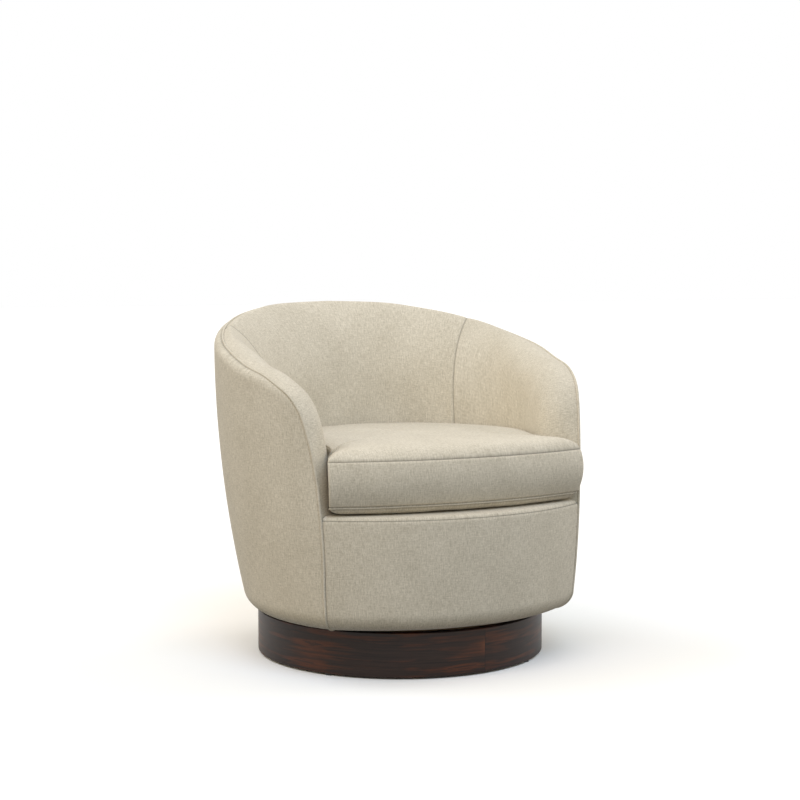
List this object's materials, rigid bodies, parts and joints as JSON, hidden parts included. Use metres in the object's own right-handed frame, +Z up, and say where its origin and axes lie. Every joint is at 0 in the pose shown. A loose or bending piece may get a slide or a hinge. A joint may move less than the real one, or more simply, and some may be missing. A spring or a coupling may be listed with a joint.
{
  "type": "swivel barrel chair",
  "caption": "Upholstered swivel barrel chair: curved padded arms and back in one wall, loose boxed seat cushion, round dark wood plinth with a ball swivel.",
  "frame": {"origin": "where the swivel axis meets the floor", "axes": "+Z up along the swivel axis, the front of the seat faces -Y, +X to the sitter's left"},
  "size_m": [0.7768, 0.7652, 0.7446],
  "materials": {
    "plinth_wood": "dark espresso stain, satin",
    "plywood": "raw plywood",
    "frame_wood": "raw hardwood",
    "glide_plastic": "matt black",
    "plated_steel": "zinc plated",
    "bearing_steel": "polished",
    "spring_steel": "oiled spring wire",
    "lining_cloth": "black cambric",
    "foam": "open cell foam with polyester wrap",
    "deck_cloth": "seat deck cloth in the cover fabric",
    "upholstery_fabric": "heathered oatmeal weave, matt",
    "zipper_tape": "nylon coil zipper on woven tape"
  },
  "bodies": {
    "plinth": {"plinth_hoop": "plinth_wood", "plinth_top_board": "plywood", "plinth_glue_blocks": "frame_wood", "floor_glides": "glide_plastic", "swivel_lower_plate": "plated_steel", "swivel_centre_collar": "plated_steel", "lower_plate_screws": "plated_steel"},
    "swivel_cage": {"ball_cage": "plated_steel", "bearing_balls": "bearing_steel"},
    "seat_shell": {"swivel_upper_plate": "plated_steel", "upper_plate_bolts": "plated_steel", "tee_nuts": "plated_steel", "bottom_board": "plywood", "dust_cover": "lining_cloth", "front_post_left": "plywood", "front_post_right": "plywood", "side_rib_left": "plywood", "side_rib_right": "plywood", "quarter_rib_left": "plywood", "quarter_rib_right": "plywood", "back_rib_left": "plywood", "back_rib_right": "plywood", "centre_rib": "plywood", "seat_rail_curved": "plywood", "front_seat_rail": "frame_wood", "front_lower_rail": "frame_wood", "top_rail": "plywood", "corner_blocks": "frame_wood", "seat_spring_1": "spring_steel", "seat_spring_2": "spring_steel", "seat_spring_3": "spring_steel", "seat_spring_4": "spring_steel", "seat_spring_5": "spring_steel", "seat_spring_6": "spring_steel", "spring_clips": "plated_steel", "spring_tie_wires": "spring_steel", "spring_insulator": "lining_cloth", "deck_pad": "foam", "deck_cover": "deck_cloth", "front_border_pad": "foam", "front_border_cover": "upholstery_fabric", "outside_cover": "upholstery_fabric", "outside_welt": "upholstery_fabric", "inside_back_pad": "foam", "inside_back_cover": "upholstery_fabric", "inside_arm_pad_left": "foam", "inside_arm_pad_right": "foam", "inside_arm_cover_left": "upholstery_fabric", "inside_arm_cover_right": "upholstery_fabric"},
    "seat_cushion": {"cushion_core": "foam", "cushion_cover": "upholstery_fabric", "cushion_zipper": "zipper_tape"}
  },
  "joints": [
    {"name": "seat_swivel", "type": "hinge", "parent": "plinth", "child": "seat_shell", "pos_m": [0, 0, 0.102], "axis": [0, 0, 1], "continuous": true},
    {"name": "cage_roll", "type": "hinge", "parent": "plinth", "child": "swivel_cage", "pos_m": [0, 0, 0.102], "axis": [0, 0, 1], "continuous": true},
    {"name": "cushion_lift", "type": "slide", "parent": "seat_shell", "child": "seat_cushion", "axis": [0, 0, 1], "range_m": [0, 0.42]}
  ],
  "couplings": [
    {"joint": "cage_roll", "follows": "seat_swivel", "ratio": 0.5}
  ]
}
